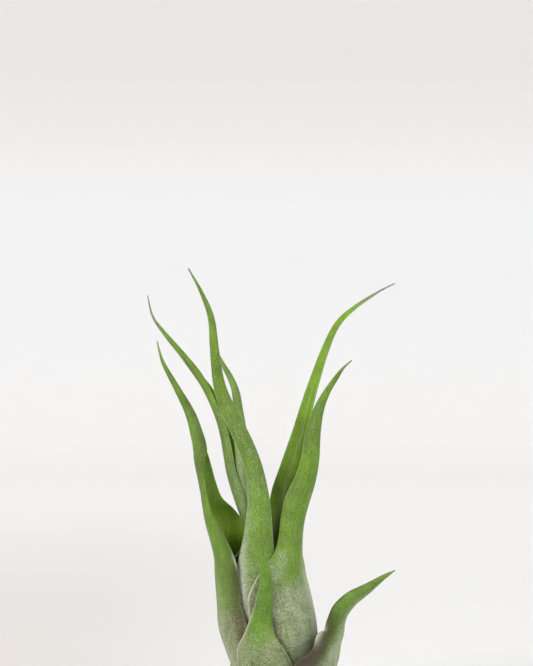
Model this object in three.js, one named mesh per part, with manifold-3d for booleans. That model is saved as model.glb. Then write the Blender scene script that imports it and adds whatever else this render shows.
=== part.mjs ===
// An air plant standing on its bulb: a short woody stem with wiry roots, and twelve channelled leaves
// whose broad sheaths wrap round each other into the bulb. Millimetres, +Z up, origin in the middle of
// the flat foot of the stem. The front of the plant looks along -Y.
import * as THREE from "three";
import { mergeVertices } from "three/addons/utils/BufferGeometryUtils.js";
import Module from "manifold-3d";

// ---- driving dimensions -------------------------------------------------------------------------
const SHEATH_THICKNESS = 1.0; // at the midrib of a sheath
const BLADE_THICKNESS = 1.3; // at the midrib of a blade, where it is widest
const MARGIN_THICKNESS = 0.65; // at all margins and at the tips
const LAYER_STEP = 0.65; // from one layer of sheaths to the next one in

const ACROSS = 8; // facets across a leaf
const SHEATH_STEPS = 8; // facets along a sheath
const STEPS_PER_KNOT = 2; // facets along a blade, for each knot of it

// The outermost layer of the bulb, as radius and height, from the stem to the neck.
const BULB_PROFILE = [
  [5.0, 3.2], [9.2, 4.2], [12.7, 7.8], [14.5, 16], [16.6, 25],
  [16.3, 34], [15.4, 43], [14.6, 50], [13.0, 58], [11.2, 66], [9.8, 74],
];
// The bulb's middle line, which leans to the left from half way up.
const BULB_AXIS = [
  [0, 0, 0], [0.5, 0, 10], [0.5, 0, 17], [-1.3, 0, 25],
  [-2.5, 0, 34], [-4.3, 0, 45], [-6.6, 0, 60], [-8.0, 0, 75],
];

// The stem, as radius and height from its foot to its top, and the roots round it.
const STEM_PROFILE = [
  [0, 0], [5.6, 0], [6.1, 0.5], [5.7, 1.5], [4.3, 2.6], [3.9, 4.5], [3.0, 8], [2.2, 12], [1.3, 15], [0, 15.6],
];
const STEM_SIDES = 20;
const ROOT_RADIUS = 0.6;
const ROOT_SIDES = 5;
const ROOT_STEPS = 8;
// Each root: the azimuth at which it leaves the stem, how far out it reaches and how far it turns.
const ROOTS = [
  { azimuth: 20, reach: 14.5, bend: 14 },
  { azimuth: 95, reach: 12.5, bend: -16 },
  { azimuth: 158, reach: 15, bend: 12 },
  { azimuth: 222, reach: 12, bend: -10 },
  { azimuth: 290, reach: 14, bend: 16 },
];

// Each leaf: the azimuth of its midrib on the bulb, the number of its layer counted from outside, how
// far the sheath's top flares out of that layer, and the sheath's half width round the bulb, in degrees
// at some heights. Then the knots of its blade, whose section is an arc: the arc's centre, its radius
// to the back of the leaf, its half angle (roll) and the azimuth that the back faces. A turn is how
// far the midrib's azimuth has gone round by the sheath's top.
const LEAVES = [
  {
    name: "leaf_right_low", azimuth: 340, layer: 0, flare: 4.4,
    wrap: [[4, 60], [12, 60], [17, 56], [21, 47.5], [24, 33]],
    blade: [
      { at: [15.4, -4.6, 27.5], radius: 5.6, roll: 74, face: 327 },
      { at: [17.8, -6.0, 30.7], radius: 3.6, roll: 91, face: 313 },
      { at: [19.3, -7.2, 34.1], radius: 3.35, roll: 90, face: 308 },
      { at: [22.3, -8.4, 37.6], radius: 2.8, roll: 86, face: 306 },
      { at: [27.3, -10.0, 41.0], radius: 1.95, roll: 84, face: 306 },
      { at: [32.4, -12.0, 44.8], radius: 1.1, roll: 66, face: 306 },
      { at: [35.4, -13.4, 46.8], radius: 0.3, roll: 30, face: 306 },
    ],
  },
  {
    name: "leaf_back_low", azimuth: 110, layer: 1, flare: 2.4,
    wrap: [[4, 62], [12, 56], [17, 38], [22, 28]],
    blade: [
      { at: [-7.0, 15.6, 29], radius: 3.0, roll: 66, face: 108 },
      { at: [-7.4, 18.4, 35], radius: 2.4, roll: 80, face: 104 },
      { at: [-7.2, 22.4, 41], radius: 1.8, roll: 80, face: 98 },
      { at: [-6.2, 27.4, 45.4], radius: 1.0, roll: 75, face: 94 },
      { at: [-4.6, 32.6, 48], radius: 0.3, roll: 30, face: 92 },
    ],
  },
  {
    name: "leaf_front_low", azimuth: 250, turn: 10, layer: 2, flare: 0.4,
    wrap: [[4, 62], [12, 51], [17, 39.5], [20.7, 33], [24.6, 25.5], [28, 16.7]],
    blade: [
      { at: [-3.2, -12.9, 34.5], radius: 3.8, roll: 60, face: 264 },
      { at: [-2.8, -14.6, 38.4], radius: 3.1, roll: 70, face: 268 },
      { at: [-2.45, -15.9, 42.4], radius: 2.45, roll: 76, face: 270 },
      { at: [-2.7, -17.0, 46.6], radius: 1.9, roll: 76, face: 270 },
      { at: [-3.85, -18.1, 50.2], radius: 1.2, roll: 70, face: 270 },
      { at: [-5.8, -19.4, 53.5], radius: 0.3, roll: 30, face: 268 },
    ],
  },
  {
    name: "leaf_back_right", azimuth: 50, layer: 3, flare: 1.0,
    wrap: [[4, 57], [14, 55], [20, 42], [26, 26], [30, 20]],
    blade: [
      { at: [5.8, 12.4, 37], radius: 3.4, roll: 62, face: 52 },
      { at: [6.2, 14.6, 45], radius: 2.7, roll: 78, face: 58 },
      { at: [6.4, 17.8, 54], radius: 2.1, roll: 84, face: 62 },
      { at: [7.2, 22.0, 62], radius: 1.6, roll: 84, face: 66 },
      { at: [9.0, 27.4, 69], radius: 1.0, roll: 78, face: 68 },
      { at: [11.6, 33.4, 74], radius: 0.3, roll: 30, face: 68 },
    ],
  },
  {
    name: "leaf_left", azimuth: 168, turn: -5, layer: 4, flare: 0.6,
    wrap: [[5, 54], [16, 66], [20, 72], [24, 79], [32, 81], [36, 76], [40, 71], [46, 79], [50, 76]],
    blade: [
      { at: [-12.4, 1, 59.9], radius: 8.3, roll: 80, face: 156 },
      { at: [-16.7, 2, 65.3], radius: 5.05, roll: 84, face: 152 },
      { at: [-19.05, 3, 70.6], radius: 3.5, roll: 96, face: 150 },
      { at: [-20.88, 3.3, 77.8], radius: 3.15, roll: 110, face: 164 },
      { at: [-21.45, 3.6, 81.4], radius: 2.95, roll: 114, face: 192 },
      { at: [-22.5, 4, 85.0], radius: 2.5, roll: 106, face: 220 },
      { at: [-24.92, 5, 92.2], radius: 1.88, roll: 96, face: 234 },
      { at: [-28.87, 6, 99.5], radius: 1.26, roll: 90, face: 240 },
      { at: [-32.9, 7.5, 106.7], radius: 0.88, roll: 70, face: 240 },
      { at: [-34.3, 8.3, 110.6], radius: 0.6, roll: 44, face: 240 },
      { at: [-35.15, 9, 114.3], radius: 0.3, roll: 30, face: 240 },
    ],
  },
  {
    name: "leaf_right", azimuth: 316, layer: 5, flare: 1.6,
    wrap: [[6, 56], [18, 64], [30, 66], [36, 68], [41, 60], [44.5, 50]],
    blade: [
      { at: [2.1, -4.5, 50.2], radius: 7.0, roll: 60, face: 306 },
      { at: [4.0, -4.1, 55.6], radius: 4.9, roll: 68, face: 298 },
      { at: [4.95, -4.4, 61.0], radius: 4.6, roll: 70, face: 292 },
      { at: [6.45, -5, 66.9], radius: 4.5, roll: 74, face: 290 },
      { at: [9.05, -6.2, 73.5], radius: 3.8, roll: 76, face: 290 },
      { at: [10.55, -7.2, 80.1], radius: 3.25, roll: 80, face: 290 },
      { at: [11.2, -8, 86.5], radius: 2.85, roll: 82, face: 290 },
      { at: [12.8, -9.2, 93.3], radius: 2.05, roll: 84, face: 292 },
      { at: [15.1, -10.2, 98.6], radius: 1.35, roll: 84, face: 296 },
      { at: [18.1, -11.4, 103.4], radius: 1.05, roll: 70, face: 298 },
      { at: [20.15, -12.1, 106.3], radius: 0.65, roll: 50, face: 299 },
      { at: [22.7, -13, 108.7], radius: 0.3, roll: 30, face: 300 },
    ],
  },
  {
    name: "leaf_back", azimuth: 78, layer: 6, flare: 0,
    wrap: [[7, 50], [20, 50], [36, 42], [46, 26]],
    blade: [
      { at: [-4.4, 7.0, 54], radius: 4.1, roll: 50, face: 78 },
      { at: [-5.9, 8.6, 64], radius: 3.2, roll: 76, face: 62 },
      { at: [-8.3, 10.0, 75], radius: 2.8, roll: 100, face: 36 },
      { at: [-10.0, 11.6, 84.1], radius: 2.4, roll: 120, face: 8 },
      { at: [-11.2, 13.2, 92.0], radius: 2.05, roll: 122, face: -10 },
      { at: [-12.05, 15, 98.7], radius: 1.65, roll: 112, face: -20 },
      { at: [-13.8, 16.2, 103.2], radius: 1.45, roll: 96, face: -24 },
      { at: [-16.6, 17.3, 108.2], radius: 1.05, roll: 80, face: -26 },
      { at: [-19.2, 18.2, 113.4], radius: 0.3, roll: 30, face: -26 },
    ],
  },
  {
    name: "leaf_right_tall", azimuth: 38, layer: 8, flare: 0,
    wrap: [[8, 42], [20, 43], [38, 42], [46, 36]],
    blade: [
      { at: [-0.8, 1.4, 56], radius: 6.2, roll: 59, face: 41 },
      { at: [1.1, 2.8, 66.3], radius: 5.6, roll: 70, face: 48 },
      { at: [3.95, 4.6, 75.3], radius: 4.5, roll: 72, face: 54 },
      { at: [7.1, 6.4, 84.9], radius: 3.7, roll: 72, face: 60 },
      { at: [9.45, 8, 94.0], radius: 2.65, roll: 72, face: 66 },
      { at: [12.35, 9.6, 103.0], radius: 2.1, roll: 72, face: 70 },
      { at: [15.6, 11.4, 112.1], radius: 1.65, roll: 70, face: 70 },
      { at: [19.15, 13, 119.4], radius: 1.35, roll: 66, face: 64 },
      { at: [24.15, 14.8, 124.3], radius: 1.05, roll: 60, face: 52 },
      { at: [31.6, 17, 129.3], radius: 0.55, roll: 45, face: 40 },
      { at: [36.9, 18.6, 132.0], radius: 0.3, roll: 30, face: 34 },
    ],
  },
  {
    name: "leaf_left_tall", azimuth: 133, layer: 8, flare: 0,
    wrap: [[8, 43], [20, 43], [38, 44], [46, 40]],
    blade: [
      { at: [-5.6, 3.6, 54], radius: 3.5, roll: 84, face: 138 },
      { at: [-6.9, 4.8, 60.2], radius: 3.0, roll: 100, face: 154 },
      { at: [-9.0, 5.8, 66.8], radius: 3.2, roll: 119, face: 159 },
      { at: [-11.3, 6.6, 74.1], radius: 3.1, roll: 121, face: 151 },
      { at: [-12.8, 7.4, 81.3], radius: 2.8, roll: 127, face: 147 },
      { at: [-14.65, 8.2, 88.5], radius: 2.4, roll: 132, face: 148 },
      { at: [-17.8, 9.2, 95.8], radius: 1.9, roll: 127, face: 149 },
      { at: [-22.1, 10.4, 103.0], radius: 1.65, roll: 122, face: 184 },
      { at: [-27.8, 11.8, 110.3], radius: 1.25, roll: 108, face: 198 },
      { at: [-33.3, 13, 117.0], radius: 0.98, roll: 80, face: 204 },
      { at: [-36.6, 13.8, 121.9], radius: 0.6, roll: 50, face: 206 },
      { at: [-38.2, 14.2, 128.3], radius: 0.3, roll: 30, face: 206 },
    ],
  },
  {
    name: "leaf_front", azimuth: 266, layer: 7, flare: 0.5,
    wrap: [[8, 44], [24, 46], [38, 42], [46, 34]],
    blade: [
      { at: [-4.65, -4, 55.4], radius: 6.7, roll: 48, face: 268 },
      { at: [-4.45, -5.2, 61], radius: 5.15, roll: 58, face: 268 },
      { at: [-4.6, -6.5, 67.4], radius: 4.05, roll: 68, face: 270 },
      { at: [-5.95, -7.6, 76.0], radius: 3.25, roll: 76, face: 276 },
      { at: [-9.1, -8.8, 84.4], radius: 3.1, roll: 78, face: 280 },
      { at: [-13.6, -10.4, 93.9], radius: 2.75, roll: 80, face: 280 },
      { at: [-16.35, -11.6, 101.6], radius: 2.2, roll: 82, face: 278 },
      { at: [-17.65, -12.8, 111.7], radius: 1.65, roll: 84, face: 276 },
      { at: [-18.6, -13.6, 121.1], radius: 1.2, roll: 84, face: 274 },
      { at: [-21.5, -14.4, 128.8], radius: 0.7, roll: 66, face: 272 },
      { at: [-25.3, -15.4, 135.8], radius: 0.3, roll: 30, face: 270 },
    ],
  },
  {
    name: "leaf_young_back", azimuth: 20, layer: 11, flare: 0,
    wrap: [[10, 60], [26, 60], [40, 52]],
    blade: [
      { at: [-4.2, 0.2, 54], radius: 2.4, roll: 72, face: 34 },
      { at: [-3.5, 0.6, 63], radius: 1.5, roll: 80, face: 50 },
      { at: [-4.0, 1.4, 72], radius: 1.0, roll: 76, face: 76 },
      { at: [-4.9, 2.0, 80], radius: 0.3, roll: 30, face: 90 },
    ],
  },
  {
    name: "leaf_young_front", azimuth: 196, layer: 11, flare: 0,
    wrap: [[10, 60], [24, 60], [36, 50]],
    blade: [
      { at: [-6.1, -0.6, 45.5], radius: 2.5, roll: 84, face: 202 },
      { at: [-5.6, 2.2, 54], radius: 1.6, roll: 76, face: 215 },
      { at: [-5.8, 4.0, 60.5], radius: 1.5, roll: 76, face: 232 },
      { at: [-8.2, 5.4, 67.3], radius: 1.8, roll: 80, face: 245 },
      { at: [-9.8, 5.9, 74.4], radius: 1.8, roll: 84, face: 252 },
      { at: [-10.7, 6.2, 81.3], radius: 1.3, roll: 84, face: 256 },
      { at: [-11.9, 6.4, 87.5], radius: 0.8, roll: 66, face: 258 },
      { at: [-13.3, 6.2, 92], radius: 0.3, roll: 30, face: 258 },
    ],
  },
];

// ---- colours ------------------------------------------------------------------------------------
const LEAF_GREEN = { color: 0x7ba348, roughness: 0.6, metalness: 0 };
const STEM_BROWN = { color: 0x6b5138, roughness: 0.85, metalness: 0 };

// ---- the bulb -----------------------------------------------------------------------------------
const radians = THREE.MathUtils.degToRad;
const profileCurve = new THREE.SplineCurve(BULB_PROFILE.map(([r, z]) => new THREE.Vector2(r, z)));
const axisCurve = new THREE.CatmullRomCurve3(BULB_AXIS.map((point) => new THREE.Vector3(...point)));

// The share, from 0 to 1, at which a rising function reaches a height, found by halving.
function shareAt(heightOf, height) {
  let low = 0;
  let high = 1;
  while (high - low > 1e-6) {
    const middle = (low + high) / 2;
    if (heightOf(middle) < height) low = middle;
    else high = middle;
  }
  return low;
}

function bulbCentre(height) {
  return axisCurve.getPoint(shareAt((share) => axisCurve.getPoint(share).z, height));
}

// Radius and height of a layer that lies at a depth inside the outermost one.
function layerPoint(share, depth) {
  const point = profileCurve.getPoint(share);
  const along = profileCurve.getTangent(share);
  return new THREE.Vector2(point.x - along.y * depth, point.y + along.x * depth);
}

// ---- smooth reading of numbers ------------------------------------------------------------------
// A cubic from a to b, with the given slopes at its ends, at a share f of the way.
function hermite(a, b, rise, fall, f) {
  const square = f * f;
  return a + rise * f + (3 * (b - a) - 2 * rise - fall) * square + (2 * (a - b) + rise + fall) * square * f;
}

// A value read from a rising list of [place, value] pairs: level outside it, a smooth curve inside it.
function readPairs(pairs, place) {
  const last = pairs.length - 1;
  if (place <= pairs[0][0]) return pairs[0][1];
  if (place >= pairs[last][0]) return pairs[last][1];
  const i = pairs.findIndex((pair) => place <= pair[0]) - 1;
  const step = pairs[i + 1][0] - pairs[i][0];
  const slope = (a, b) => (pairs[b][1] - pairs[a][1]) / (pairs[b][0] - pairs[a][0]);
  const rise = slope(Math.max(i - 1, 0), i + 1) * step;
  const fall = slope(i, Math.min(i + 2, last)) * step;
  return hermite(pairs[i][1], pairs[i + 1][1], rise, fall, (place - pairs[i][0]) / step);
}

// A number of the knots at a place counted in knots, on a smooth curve through all of them.
function readKnots(knots, key, place) {
  const i = Math.min(Math.floor(place), knots.length - 2);
  const value = (j) => knots[THREE.MathUtils.clamp(j, 0, knots.length - 1)][key];
  const [before, from, to, after] = [value(i - 1), value(i), value(i + 1), value(i + 2)];
  return hermite(from, to, (to - before) / 2, (after - from) / 2, place - i);
}

// ---- a leaf -------------------------------------------------------------------------------------
// A knot of a leaf: its midrib point, and the half width of the leaf measured along its arc.
function makeKnot(centre, radius, face, roll, thickness, square) {
  const angle = radians(face);
  const at = [centre[0] + radius * Math.cos(angle), centre[1] + radius * Math.sin(angle), centre[2]];
  return { at, halfWidth: radius * radians(roll), face, roll, thickness, square };
}

// Knots up the sheath: level sections round the bulb's middle line, in the leaf's layer.
function sheathKnots({ azimuth, turn = 0, layer, flare, wrap }) {
  const depth = layer * LAYER_STEP;
  const top = wrap[wrap.length - 1][0];
  const end = shareAt((share) => layerPoint(share, depth).y, top);
  const knots = [];
  for (let i = 0; i <= SHEATH_STEPS; i++) {
    const share = i / SHEATH_STEPS;
    const { x: layerRadius, y: height } = layerPoint(end * share, depth);
    const { x, y } = bulbCentre(height);
    const radius = layerRadius + flare * share ** 1.5;
    const face = azimuth + turn * share ** 2;
    knots.push(makeKnot([x, y, height], radius, face, readPairs(wrap, height), SHEATH_THICKNESS, 0));
  }
  return knots;
}

// Knots up the blade: sections square to the midrib, thinner where the blade is slimmer.
function bladeKnots({ blade }) {
  return blade.map(({ at, radius, roll, face }) => {
    const thickness = THREE.MathUtils.clamp(0.3 + 0.4 * radius, MARGIN_THICKNESS, BLADE_THICKNESS);
    const middleRadius = Math.max(radius - thickness / 2, 0.7 * thickness);
    return makeKnot(at, middleRadius, face, roll, thickness, 1);
  });
}

// The middle surface of a leaf at a place along its knots and a share across, from -1 to 1.
function leafPoint(knots, midribCurve, place, across) {
  const share = place / (knots.length - 1);
  const square = THREE.MathUtils.clamp(readKnots(knots, "square", place), 0, 1);
  const along = new THREE.Vector3(0, 0, 1).lerp(midribCurve.getTangent(share), square).normalize();
  const facing = radians(readKnots(knots, "face", place));
  const back = new THREE.Vector3(Math.cos(facing), Math.sin(facing), 0);
  back.addScaledVector(along, -back.dot(along)).normalize();
  const side = new THREE.Vector3().crossVectors(along, back);
  const roll = radians(readKnots(knots, "roll", place));
  const radius = readKnots(knots, "halfWidth", place) / roll;
  const angle = across * roll;
  return midribCurve
    .getPoint(share)
    .addScaledVector(back, radius * (Math.cos(angle) - 1))
    .addScaledVector(side, radius * Math.sin(angle));
}

// The direction out of the back of a leaf at a point of its middle surface.
function leafNormal(knots, midribCurve, place, across) {
  const small = 0.02;
  const low = Math.max(place - small, 0);
  const high = Math.min(place + small, knots.length - 1);
  const point = (p, a) => leafPoint(knots, midribCurve, p, a);
  const alongStep = point(high, across).sub(point(low, across));
  const acrossStep = point(place, across + small).sub(point(place, across - small));
  return acrossStep.cross(alongStep).normalize();
}

// The closed solid of a leaf: its middle surface thickened both ways, and thinner to its margins.
function leafGeometry(leaf) {
  const knots = [...sheathKnots(leaf), ...bladeKnots(leaf)];
  const midribCurve = new THREE.CatmullRomCurve3(knots.map(({ at }) => new THREE.Vector3(...at)));
  midribCurve.curveType = "catmullrom";
  const last = knots.length - 1;
  const backFace = [];
  const innerFace = [];
  let rows = 0;
  for (let place = 0; place <= last; place += place < SHEATH_STEPS ? 1 : 1 / STEPS_PER_KNOT) {
    const middle = readKnots(knots, "thickness", place);
    const margin = Math.min(MARGIN_THICKNESS, middle);
    for (let j = 0; j <= ACROSS; j++) {
      const across = (2 * j) / ACROSS - 1;
      const half = (middle + (margin - middle) * across ** 2) / 2;
      const point = leafPoint(knots, midribCurve, place, across);
      const normal = leafNormal(knots, midribCurve, place, across);
      backFace.push(point.clone().addScaledVector(normal, half));
      innerFace.push(point.clone().addScaledVector(normal, -half));
    }
    rows += 1;
  }
  return closedSkin(backFace, innerFace, rows, ACROSS + 1);
}

// Two grids of points, one behind the other, joined along their rims into one closed mesh. Both are
// split into triangles alike.
function closedSkin(frontGrid, rearGrid, rows, columns) {
  const triangles = [];
  const addQuad = (a, b, c, d) => triangles.push(a, b, c, a, c, d);
  const front = (i, j) => i * columns + j;
  const rear = (i, j) => rows * columns + front(i, j);
  const lastRow = rows - 1;
  const lastColumn = columns - 1;
  for (let i = 0; i < lastRow; i++) {
    for (let j = 0; j < lastColumn; j++) {
      addQuad(front(i, j), front(i, j + 1), front(i + 1, j + 1), front(i + 1, j));
      addQuad(rear(i, j), rear(i + 1, j), rear(i + 1, j + 1), rear(i, j + 1));
    }
    addQuad(front(i, 0), front(i + 1, 0), rear(i + 1, 0), rear(i, 0));
    addQuad(front(i + 1, lastColumn), front(i, lastColumn), rear(i, lastColumn), rear(i + 1, lastColumn));
  }
  for (let j = 0; j < lastColumn; j++) {
    addQuad(front(0, j + 1), front(0, j), rear(0, j), rear(0, j + 1));
    addQuad(front(lastRow, j), front(lastRow, j + 1), rear(lastRow, j + 1), rear(lastRow, j));
  }
  const geometry = new THREE.BufferGeometry().setFromPoints([...frontGrid, ...rearGrid]);
  geometry.setIndex(triangles);
  geometry.computeVertexNormals();
  return geometry;
}

// ---- the stem and its roots ---------------------------------------------------------------------
const wasm = await Module();
wasm.setup();

function solidOf(geometry) {
  const bare = new THREE.BufferGeometry();
  bare.setAttribute("position", geometry.getAttribute("position"));
  bare.setIndex(geometry.index);
  const merged = mergeVertices(bare, 1e-4);
  const vertProperties = new Float32Array(merged.getAttribute("position").array);
  const triVerts = new Uint32Array(merged.index.array);
  return new wasm.Manifold(new wasm.Mesh({ numProp: 3, vertProperties, triVerts }));
}

function geometryOf(solid) {
  const { vertProperties, triVerts } = solid.getMesh();
  const geometry = new THREE.BufferGeometry();
  geometry.setAttribute("position", new THREE.BufferAttribute(vertProperties, 3));
  geometry.setIndex(new THREE.BufferAttribute(triVerts, 1));
  geometry.computeVertexNormals();
  return geometry;
}

// One root: it leaves the stem's side, runs out in a curve and comes down onto the surface.
function rootGeometry({ azimuth, reach, bend }) {
  const point = (distance, turn, height) => {
    const angle = radians(azimuth + turn);
    return new THREE.Vector3(distance * Math.cos(angle), distance * Math.sin(angle), height);
  };
  const stemSide = 6.5;
  const path = new THREE.CatmullRomCurve3([
    point(2.5, 0, 1.6),
    point(stemSide, 0, 1.3),
    point((stemSide + reach) / 2, bend * 0.4, ROOT_RADIUS + 0.15),
    point(reach, bend, ROOT_RADIUS),
  ]);
  const section = new THREE.Shape();
  for (let i = 0; i < ROOT_SIDES; i++) {
    const angle = (2 * Math.PI * i) / ROOT_SIDES;
    section[i ? "lineTo" : "moveTo"](ROOT_RADIUS * Math.cos(angle), ROOT_RADIUS * Math.sin(angle));
  }
  return new THREE.ExtrudeGeometry(section, { steps: ROOT_STEPS, extrudePath: path, curveSegments: 1 });
}

function stemGeometry() {
  const outline = STEM_PROFILE.map(([radius, height]) => new THREE.Vector2(radius, height));
  let solid = solidOf(new THREE.LatheGeometry(outline, STEM_SIDES).rotateX(Math.PI / 2));
  for (const root of ROOTS) solid = solid.add(solidOf(rootGeometry(root)));
  return geometryOf(solid);
}

// ---- the plant ----------------------------------------------------------------------------------
const plant = new THREE.Group();

function addPart(name, geometry, finish) {
  const mesh = new THREE.Mesh(geometry, new THREE.MeshStandardMaterial(finish));
  mesh.name = name;
  plant.add(mesh);
}

addPart("stem", stemGeometry(), STEM_BROWN);
for (const leaf of LEAVES) addPart(leaf.name, leafGeometry(leaf), LEAF_GREEN);

export default plant;
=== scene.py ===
"""An air plant standing in a plain studio.

Twelve channelled leaves wrap their broad sheaths round each other into a bulb, on a short woody stem with
wiry roots. Each leaf follows the same rule as its solid in the frame, from the same numbers, with thinner
margins, a finer tip, an uneven skin and the silvery scales that cover it. Metres, +Z up, front along -Y.
"""
import logging
import math
from dataclasses import dataclass
from enum import Enum

import bpy
import numpy as np
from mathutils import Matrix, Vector


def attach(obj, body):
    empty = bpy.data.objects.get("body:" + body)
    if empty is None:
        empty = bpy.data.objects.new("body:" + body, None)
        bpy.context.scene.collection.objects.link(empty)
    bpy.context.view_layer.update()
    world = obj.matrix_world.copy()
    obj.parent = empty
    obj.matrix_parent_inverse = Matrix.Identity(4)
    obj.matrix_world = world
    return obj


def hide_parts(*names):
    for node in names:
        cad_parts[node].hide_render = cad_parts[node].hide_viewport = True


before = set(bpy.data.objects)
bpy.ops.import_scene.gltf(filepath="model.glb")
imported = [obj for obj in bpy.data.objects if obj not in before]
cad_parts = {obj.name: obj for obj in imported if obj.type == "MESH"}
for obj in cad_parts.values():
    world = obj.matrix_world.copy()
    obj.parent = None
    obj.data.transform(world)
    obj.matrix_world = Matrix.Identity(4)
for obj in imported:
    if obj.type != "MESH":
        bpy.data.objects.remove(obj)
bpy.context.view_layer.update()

log = logging.getLogger("air_plant")

MM = 0.001
Colour = tuple[float, float, float]
Array = np.ndarray
Piece, Mesh, Material = bpy.types.Object, bpy.types.Mesh, bpy.types.Material
Tree, Node, Socket = bpy.types.NodeTree, bpy.types.Node, bpy.types.NodeSocket

# ---- driving dimensions of the leaves
SHEATH_THICKNESS = 1.0 * MM
BLADE_THICKNESS = 1.3 * MM
MARGIN_THICKNESS = 0.28 * MM
TIP_THICKNESS = 0.34 * MM
LAYER_STEP = 0.65 * MM  # from one layer of sheaths to the next one in
SHEATH_KNOTS = 8  # steps between knots up a sheath
TIP_SHARE = 0.05  # the share of a leaf's length over which its tip draws out
TIP_WIDTH = 0.75  # of the width that the tip would have without drawing out
# A blade is as thick as this base and this share of its radius, within bounds, in mm.
BLADE_BASE, BLADE_GROWTH, THINNEST_BLADE = 0.3, 0.4, 0.65
TIGHTEST_BLADE = 0.7  # the least radius of a blade's middle surface, in thicknesses

OUTLINE_STEPS = 600  # places at which the bulb's outline is worked out
TANGENT_STEP = 0.002  # in knots, for the direction of a midrib
DENT_SIZE = 5 * MM  # of the clouds that push a leaf's skin in and out
DENT_DEPTH = 0.22 * MM
COLUMNS = 36  # faces across a leaf
ROWS_PER_SHEATH_KNOT = 5
ROWS_PER_BLADE_KNOT = 8
SCATTER_SEED = 11

# The outermost layer of the bulb, as radius and height in mm, from the stem to the neck.
BULB_PROFILE = (
    (5.0, 3.2), (9.2, 4.2), (12.7, 7.8), (14.5, 16), (16.6, 25),
    (16.3, 34), (15.4, 43), (14.6, 50), (13.0, 58), (11.2, 66), (9.8, 74),
)
# The bulb's middle line, as height and place along X in mm.
BULB_AXIS = (
    (0, 0), (10, 0.5), (17, 0.5), (25, -1.3), (34, -2.5), (45, -4.3), (60, -6.6), (75, -8.0),
)


# ---- smooth reading of numbers
def hermite(a: Array, b: Array, rise: Array, fall: Array, f: Array) -> Array:
    """Reads a cubic between two values.

    Args:
        a: the values at the start.
        b: the values at the end.
        rise: the slopes at the start, for a step of 1.
        fall: the slopes at the end, for a step of 1.
        f: the share of the way, from 0 to 1.

    Returns:
        The values at f.
    """
    square = f * f
    return a + rise * f + (3 * (b - a) - 2 * rise - fall) * square + (2 * (a - b) + rise + fall) * square * f


def read_knots(values: Array, places: Array, reflect: bool = False) -> Array:
    """Reads a list of numbers or points on one smooth curve through all of them.

    Args:
        values: the numbers, or the points as rows.
        places: where to read, counted in steps of the list.
        reflect: True to run straight on past the ends, as the midrib does.

    Returns:
        One number or row for each place.
    """
    values = np.asarray(values, float)
    start = 2 * values[0] - values[1] if reflect else values[0]
    end = 2 * values[-1] - values[-2] if reflect else values[-1]
    padded = np.concatenate([[start], values, [end]])
    first = np.clip(np.floor(places).astype(int), 0, len(values) - 2)
    share = (places - first).reshape((-1,) + (1,) * (values.ndim - 1))
    before, a, b, after = (padded[first + step] for step in range(4))
    return hermite(a, b, (b - before) / 2, (after - a) / 2, share)


def read_pairs(pairs: tuple, places: Array) -> Array:
    """Reads a rising list of (place, value) pairs, level outside it and smooth inside it.

    Args:
        pairs: the list of pairs.
        places: where to read.

    Returns:
        One value for each place.
    """
    x, y = np.array(pairs, float).T
    index = np.arange(len(x))
    low, high = np.maximum(index - 1, 0), np.minimum(index + 1, len(x) - 1)
    slope = (y[high] - y[low]) / (x[high] - x[low])
    places = np.clip(places, x[0], x[-1])
    i = np.clip(np.searchsorted(x, places) - 1, 0, len(x) - 2)
    step = x[i + 1] - x[i]
    return hermite(y[i], y[i + 1], slope[i] * step, slope[i + 1] * step, (places - x[i]) / step)


def smooth_step(low: float, high: float, values: Array) -> Array:
    """Rises smoothly from 0 at low to 1 at high; falls if low is above high."""
    share = np.clip((values - low) / (high - low), 0, 1)
    return share * share * (3 - 2 * share)


def unit(vectors: Array) -> Array:
    """The vectors, which lie along the last axis, each made one long."""
    return vectors / np.linalg.norm(vectors, axis=-1, keepdims=True)


# ---- mesh tools
def deselect_all() -> None:
    """Leaves edit mode and clears the selection."""
    if bpy.context.mode != "OBJECT":
        bpy.ops.object.mode_set(mode="OBJECT")
    bpy.ops.object.select_all(action="DESELECT")


def make_active(piece: Piece) -> None:
    """Selects one object alone and makes it the active one.

    Args:
        piece: the object.
    """
    deselect_all()
    piece.select_set(True)
    bpy.context.view_layer.objects.active = piece


def read_all(items: object, name: str, width: int = 1, kind: type = float) -> Array:
    """Reads one property of all of a mesh's points, corners, triangles or values.

    Args:
        items: what has the property.
        name: the property.
        width: how many numbers it has.
        kind: the type of the numbers.

    Returns:
        One number for each item, or one row where it has more.
    """
    values = np.zeros(len(items) * width, kind)
    items.foreach_get(name, values)
    return values.reshape(-1, width) if width > 1 else values


def put_in_scene(name: str, data: bpy.types.ID) -> Piece:
    """Makes an object of some data and links it to the scene.

    Args:
        name: the object's name.
        data: its mesh, curve, lamp or camera.

    Returns:
        The object.
    """
    piece = bpy.data.objects.new(name, data)
    bpy.context.scene.collection.objects.link(piece)
    return piece


def clouds(name: str, size: float, depth: int) -> bpy.types.Texture:
    """Finds or makes a cloudy texture that pushes a skin in and out.

    Args:
        name: the texture's name.
        size: the size of its clouds.
        depth: how many finer layers it has.

    Returns:
        The texture.
    """
    texture = bpy.data.textures.get(name) or bpy.data.textures.new(name, "CLOUDS")
    texture.noise_scale = size
    texture.noise_depth = depth
    return texture


def add_modifier(piece: Piece, kind: str, **settings: object) -> None:
    """Adds a modifier to a piece.

    Args:
        piece: the piece.
        kind: the modifier's type.
        settings: its properties.
    """
    modifier = piece.modifiers.new(kind.lower(), kind)
    for name, value in settings.items():
        setattr(modifier, name, value)


def apply_modifiers(piece: Piece) -> None:
    """Applies every modifier of a piece, in order.

    Args:
        piece: the piece.
    """
    make_active(piece)
    for modifier in list(piece.modifiers):
        bpy.ops.object.modifier_apply(modifier=modifier.name)


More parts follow.
